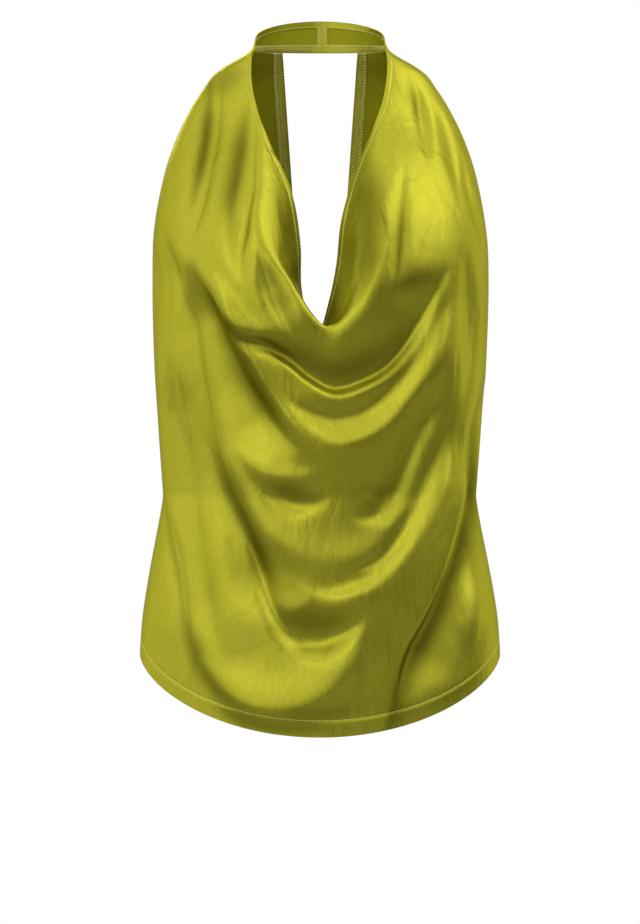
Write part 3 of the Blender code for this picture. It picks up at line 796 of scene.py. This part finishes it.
def thread_piece(name, paths, radius):
    """Threads as tubes with pointed ends, from their points and the unit vectors away from the cloth."""
    sides = 5
    turns = np.linspace(0, 2 * math.pi, sides, endpoint=False)[None, :, None]
    places, faces = [], []
    first = 0
    for points, away in paths:
        way = unit(np.gradient(points, axis=0))
        aside = unit(np.cross(way, away))
        up = np.cross(aside, way)
        thick = np.full(len(points), radius)
        thick[[0, -1]] *= THREAD_TIP
        ring = aside[:, None] * np.cos(turns) + up[:, None] * np.sin(turns)
        places.append((points[:, None] + ring * thick[:, None, None]).reshape(-1, 3))
        last = first + (len(points) - 1) * sides
        for a in range(first, last):
            b = a + 1 if (a + 1 - first) % sides else a + 1 - sides
            faces.append((a, b, b + sides, a + sides))
        faces.append(tuple(range(first + sides - 1, first - 1, -1)))
        faces.append(tuple(range(last, last + sides)))
        first = last + sides
    piece = new_piece(name, np.concatenate(places), faces, [THREAD])
    return piece


# ---------------- threads and turned edges

def topstitches(line, away):
    """Paths of short stitches along a line on the cloth."""
    both = np.concatenate([line, away], axis=1)
    paths = []
    for start in np.arange(STITCH_PITCH / 2, run_length(line)[-1] - STITCH_PITCH, STITCH_PITCH):
        stitch = walk(both, lambda length: start + STITCH_ALONG * STITCH_LENGTH)
        paths.append((stitch[:, :3] + STITCH_LIFT[:, None] * stitch[:, 3:], stitch[:, 3:]))
    return paths


def overlocking(folded, raw, square):
    """Paths of the overlocking on the inside of a turned strip, from its folded and its raw edge on the
    panel's face and the vectors square to them."""
    inside = -square
    folded = folded + INNER_DEPTH * inside
    raw = raw + INNER_DEPTH * inside
    lines = np.concatenate([folded, raw, inside], axis=1)
    middle = run_length((folded + raw) / 2)

    def place(pitches, share, lift):
        row = [np.interp(min(pitches * OVERLOCK_PITCH, middle[-1]), middle, channel) for channel in lines.T]
        fold, edge, up = np.array(row[:3]), np.array(row[3:6]), np.array(row[6:])
        return fold + (edge - fold) * share + up * lift, up

    paths = []
    for step in range(int(middle[-1] / OVERLOCK_PITCH)):
        for thread in OVERLOCK_THREADS:
            points = [place(step + ahead, share, lift) for ahead, share, lift in thread]
            paths.append((np.array([p for p, _ in points]), np.array([up for _, up in points])))
    return paths


def cut(panel, rows, columns):
    """The points of part of a panel, to make what lies on it."""
    points, square = panel
    return points[rows, columns], square[rows, columns]


def stitched_relief(count, turn, first=(), last=()):
    """How stitches pull a panel's rows or columns in and the turned edge beside them stands proud, from the
    distances of the first or the last ones from their edge."""
    distance = np.full(count, FAR)
    distance[:len(first)] = first
    distance[count - len(last):] = last
    groove = -STITCH_GROOVE * np.exp(-((distance - turn) / GROOVE_WIDTH) ** 2)
    return groove + TURNING_PROUD * smoothstep((turn - distance) / PROUD_FADE)


def share_above(form, height):
    return smoothstep((form[..., 2] - height) / RELIEF_FADE)


def dressed(form, folds, reliefs):
    """A panel's outer points and the vectors square to them, with its folds and stitched edges."""
    points, square = patch(fold_all(form, folds))
    return patch(points + square * reliefs[..., None])


def paint_shade_streaks(piece, streaks):
    """Marks for the material where painted shade darkens a panel's satin, along its creases and fold hollows.
    """
    mesh = piece.data
    places = np.empty(len(mesh.vertices) * 3)
    mesh.vertices.foreach_get("co", places)
    x, _, height = places.reshape(-1, 3).T / MM
    share = sum(fold_depth(streak, x, height) for streak in streaks)
    mesh.attributes.new("painted_shade", "FLOAT", "POINT").data.foreach_set("value", np.minimum(share, MOST_PAINTED_SHADE))


# ---------------- pieces

def make_front():
    roll = np.linspace(0, ROLL_AT[3], ROLL_STEPS)[:-1]
    drop = np.linspace(ROLL_AT[3], 1, DROP_STEPS)
    form = front_form(np.linspace(-1, 1, FORM_COLUMNS), np.concatenate([roll, drop]))
    form = respaced(form, spacing(TURN_ROWS, HEM_ROWS, FRONT_ROWS),
                    spacing(ARMHOLE_ROWS, ARMHOLE_LAST, FRONT_COLUMNS))
    rows, columns = form.shape[:2]
    neck = stitched_relief(rows, NECK_TURN, TURN_ROWS)[:, None]
    hem = stitched_relief(rows, HEM_TURN, last=HEM_ROWS)[:, None]
    armholes = stitched_relief(columns, ARMHOLE_TURN, ARMHOLE_ROWS, ARMHOLE_LAST)
    front = dressed(form, FRONT_FOLDS, neck + hem + armholes * share_above(form, UNDERARM))
    panel = panel_piece("front_panel", [front], "front")
    # painted shade streaks along the front's creases and fold hollows
    paint_shade_streaks(panel, FRONT_PAINTED_SHADE)

    inner = len(TURN_ROWS)
    arm = slice(inner, inner + int(np.sum(front[0][inner:, 0, 2] > UNDERARM)))
    pieces = [
        turning("hem_front_turned", [cut(front, slice(HEM_STITCH_ROW, -1), HEM_ENDS)], "hem_front"),
        turning("neck_turned", [cut(front, TURNED_FIRST, slice(1, -1))]),
        turning("armhole_front_left_turned", [cut(front, arm, TURNED_FIRST)]),
        turning("armhole_front_right_turned", [cut(front, arm, TURNED_LAST)]),
    ]
    for name, rows, columns in (
        ("neck", STITCH_ROW, slice(None)), ("hem_front", HEM_STITCH_ROW, slice(None)),
        ("armhole_front_left", arm, STITCH_ROW), ("armhole_front_right", arm, -STITCH_ROW - 1),
    ):
        paths = topstitches(*cut(front, rows, columns))
        pieces.append(thread_piece(name + "_stitches", paths, STITCH_RADIUS))
    return front


def back_panel_half(side):
    form = respaced(back_form(side), across=spacing(KEYHOLE_ROWS, ARMHOLE_LAST, BACK_COLUMNS))
    rows, columns = form.shape[:2]
    keyhole = stitched_relief(columns, KEYHOLE_STITCHES, KEYHOLE_ROWS) * share_above(form, KEYHOLE_FOOT)
    armhole = stitched_relief(columns, ARMHOLE_TURN, last=ARMHOLE_LAST) * share_above(form, UNDERARM)
    reliefs = keyhole + armhole + stitched_relief(rows, HEM_TURN, last=HEM_ROWS)[:, None]
    if side > 0:
        return dressed(form[:, ::-1], BACK_FOLDS, reliefs[:, ::-1])
    return dressed(form, BACK_FOLDS, reliefs)


def keyhole_line():
    """The keyhole's line of stitches, down, round the foot and up, and the vectors square to the cloth."""
    heights = back_heights()[1:KEYHOLE_ABOVE + KEYHOLE_ROUND + 1]
    edge = np.stack([keyhole_half(heights), heights], axis=-1)
    way = unit(np.gradient(edge, axis=0))
    aside = np.stack([-way[:, 1], way[:, 0]], axis=-1)
    rows = []
    for inset in (KEYHOLE_STITCHES - 0.5, KEYHOLE_STITCHES, KEYHOLE_STITCHES + 0.5):
        x, height = (edge + inset * aside).T
        angle = 180 - angle_at(x, height)
        angle, height = np.concatenate([angle, -angle[-2::-1]]), np.concatenate([height, height[-2::-1]])
        rows.append(np.concatenate([form_point(angle, height), angle[:, None]], axis=-1))
    points, square = patch(fold_all(np.array(rows), BACK_FOLDS))
    return points[1], square[1] * np.sign(square[1][:, 1:2])


def make_back():
    """The back, one piece from side seam to side seam. Seen from behind, its right half comes first."""
    halves = back_panel_half(1), back_panel_half(-1)
    panel = panel_piece("back_panel", halves, "back")
    hem = [np.concatenate([right[HEM_STITCH_ROW:-1], left[HEM_STITCH_ROW:-1, 1:]], axis=1)[:, HEM_ENDS]
           for right, left in zip(*halves)]
    pieces = [turning("hem_back_turned", [hem], "hem_back")]
    stitches = {"hem_back": [], "armhole_back": [], "keyhole": topstitches(*keyhole_line())}
    strips, overlock = [], []
    for half, name, order, edge in (
        (halves[0], "right", slice(None, None, -1), TURNED_FIRST),
        (halves[1], "left", slice(None), TURNED_LAST),
    ):
        outwards = points, square = cut(half, slice(None), order)
        foot = int(np.sum(points[:, 0, 2] > KEYHOLE_FOOT - KEYHOLE_TURN))
        arm = slice(BACK_TURNED_ROW, int(np.sum(points[:, -1, 2] > UNDERARM)))
        strips.append([part[:, order] for part in cut(outwards, slice(foot), slice(1, KEYHOLE_RAW + 1))])
        pieces.append(turning("armhole_back_" + name + "_turned", [cut(half, arm, edge)]))
        stitches["armhole_back"] += topstitches(*cut(outwards, arm, -STITCH_ROW - 1))
        stitches["hem_back"] += topstitches(*cut(half, HEM_STITCH_ROW, slice(None)))
        overlock += overlocking(points[:foot, 1], points[:foot, KEYHOLE_RAW], square[:foot, 1])
    pieces.append(turning("keyhole_turned", strips, "keyhole_hem"))
    for name, paths in stitches.items():
        pieces.append(thread_piece(name + "_stitches", paths, STITCH_RADIUS))
    pieces.append(thread_piece("keyhole_overlocking", overlock, OVERLOCK_RADIUS))
    return halves


def band_line(edge, turned=0, shift=0):
    """Height along the band's foot or top as a function of the angle, moved by a turning's width, which
    narrows as the band does, and by an even shift."""
    def height(angle):
        foot, top = band_edges(angle)
        narrowing = np.sqrt((top - foot) / (BAND_TOP - BAND_FOOT))
        return (foot, top)[edge] + turned * narrowing + shift
    return height


def band_part(side, upper, lower, angle, shares):
    """Outer surface of part of one half of the band, between two heights that depend on the angle."""
    share = np.asarray(shares)[:, None]
    points = form_point(side * (angle + 0 * share), upper(angle) * (1 - share) + lower(angle) * share)
    return patch(points if side < 0 else points[:, ::-1])


def make_band():
    foot, top = band_line(FOOT), band_line(TOP)
    hem_foot, hem_top = band_line(TOP, -BAND_HEM_TURN), band_line(TOP, shift=-TURN_INSET)
    seam_foot, seam_top = band_line(FOOT, shift=TURN_INSET), band_line(FOOT, BAND_SEAM_TURN)
    needle_line = band_line(TOP, -BAND_HEM_TURN, BAND_NEEDLE)
    nape = 180 - BAND_HALF_GAP
    whole = np.linspace(nape, BAND_FRONT_ANGLE, BAND_COLUMNS)
    short = np.linspace(nape, BAND_FRONT_ANGLE + BAND_TURN_END, BAND_COLUMNS)
    rows = np.linspace(0, 1, BAND_TURN_ROWS)
    for side, name in ((-1, "left"), (1, "right")):
        cloth = band_part(side, top, foot, whole, np.linspace(0, 1, BAND_ROWS))
        panel = panel_piece("band_panel_" + name, [cloth], "band_" + name)
        hem = band_part(side, hem_top, hem_foot, short, rows)
        seam = band_part(side, seam_top, seam_foot, short, rows)
        corner = band_part(side, top, foot, np.linspace(*CORNER_ANGLES), np.linspace(*CORNER_SHARES))
        pieces = [turning("band_top_turned_" + name, [hem], "band_hem_" + name),
                  turning("band_seam_turned_" + name, [seam], "band_seam_" + name),
                  turning("band_corner_seam_" + name, [corner])]
        needle, away = cut(band_part(side, needle_line, hem_foot, short, (0, 1)), 0, slice(None))
        paths = topstitches(needle, away) + topstitches(needle - away * INNER_DEPTH, -away)
        pieces.append(thread_piece("band_stitches_" + name, paths, STITCH_RADIUS))
        paths = overlocking(seam[0][-1], seam[0][0], seam[1][0])
        pieces.append(thread_piece("band_overlocking_" + name, paths, OVERLOCK_RADIUS))

    across = 180 - angle_at(np.linspace(*NAPE_SEAM_X), 0)
    heights = np.linspace(hem_foot(180) - NAPE_SEAM_GAP, seam_top(180) + NAPE_SEAM_GAP, NAPE_SEAM_ROWS)
    points, square = patch(form_point(across + 0 * heights[:, None], heights[:, None] + 0 * across))
    turning("nape_seam_open", [(points, square)], "nape_seam")
    fold = points[:, len(across) // 2]
    paths = []
    for raw in (0, -1):
        paths += overlocking(fold, points[:, raw], square[:, 0])
    thread_piece("nape_overlocking", paths, OVERLOCK_RADIUS)


def at_heights(line, heights):
    """Places on an upright line at these heights."""
    order = np.argsort(line[:, 2])
    return np.stack([np.interp(heights, line[order, 2], channel[order]) for channel in line.T], axis=-1)


def make_side_seams(front, back_halves):
    """The pressed seam allowance inside each side seam, where one panel's last columns meet the next
    one's first, overlocked along the back's raw edge."""
    heights = np.linspace(*SIDE_SEAM_HEIGHTS)
    right_back, left_back = back_halves
    for name, before, after, fold, raw in (
        ("left", left_back[0], front[0], 1, 0), ("right", front[0], right_back[0], 2, 3)
    ):
        lines = (before[:, -SIDE_SEAM_COLUMN - 1], before[:, -1], after[:, 0], after[:, SIDE_SEAM_COLUMN])
        points, square = patch(np.stack([at_heights(line, heights) for line in lines], axis=1))
        turning("side_seam_" + name, [(points, square)])
        paths = overlocking(points[:, fold], points[:, raw], square[:, 0])
        thread_piece("side_seam_overlocking_" + name, paths, OVERLOCK_RADIUS)


# ---------------- stage

def soft_light(name, place, size, power):
    bpy.ops.object.light_add(type="AREA", location=place)
    light = bpy.context.object
    light.name = name
    light.data.shape = "RECTANGLE"
    light.data.size, light.data.size_y = size
    light.data.energy = power
    light.rotation_euler = (Vector(LIGHT_AIM) - Vector(place)).to_track_quat("-Z", "Y").to_euler()
    light.visible_camera = False


def surroundings():
    """Pale studio, dim near the floor. In front of the top it is brighter on the left, and behind the top it
    is a bright backdrop that is darker to each side."""
    world = bpy.data.worlds.new("studio")
    bpy.context.scene.world = world
    world.use_nodes = True
    start = Value(world.node_tree)
    way = start.node("ShaderNodeTexCoord", output=0)
    aside, ahead, up = (way.node("ShaderNodeSeparateXYZ", None, {0: way}, axis) for axis in range(3))

    def ramp(value, start, end, low, high):
        return value.node("ShaderNodeMapRange", {"interpolation_type": "SMOOTHSTEP"}, {
            "Value": value, "From Min": start, "From Max": end, "To Min": low, "To Max": high,
        })

    left = ramp(up, -0.4, 0.1, 0.1, 1.12)
    right = ramp(up, -0.35, 0.9, 0.08, 1.05)
    front = between(ramp(aside, -0.1, 0.1, 0.0, 1.0), left, right)
    width = aside.maths("ABSOLUTE", aside)
    behind = ramp(up, -0.32, -0.15, 0.15, 1.0) * between(
        ramp(width, 0.14, 0.3, 0.0, 1.0), 1.0, ramp(width, 0.45, 0.8, 0.45, 0.9)
    )
    colour = between(ramp(ahead, 0.0, 0.5, 0.0, 1.0), front, behind)
    plug(colour, world.node_tree.nodes["Background"], "Color")


def make_stage():
    bpy.ops.object.select_all(action="DESELECT")
    bpy.ops.mesh.primitive_circle_add(vertices=96, radius=FLOOR_RADIUS, fill_type="NGON",
                                      location=(0, 0, FLOOR_HEIGHT))
    floor = bpy.context.object
    floor.name = "studio_floor"
    material, _, _ = finish("pale_floor", {"Base Color": FLOOR_GREY, "Roughness": 0.8})
    floor.data.materials.append(material)
    soft_light("front_soft", (-1.4, -3.0, 1.7), (1.8, 1.2), 5)
    soft_light("right_soft", (2.1, -0.9, 1.6), (2.2, 2.2), 17)
    soft_light("back_soft", (-0.8, 3.2, 1.6), (2.4, 1.6), 40)


def make_camera():
    bpy.ops.object.camera_add(location=(0, -CAMERA_AWAY, CAMERA_HEIGHT), rotation=(math.radians(90), 0, 0))
    camera = bpy.context.object
    camera.data.lens = CAMERA_LENS
    bpy.context.scene.camera = camera


front_panel, back_halves = make_front(), make_back()
make_band()
make_side_seams(front_panel, back_halves)
surroundings()
make_stage()
make_camera()
bpy.context.scene.view_settings.view_transform = "Standard"
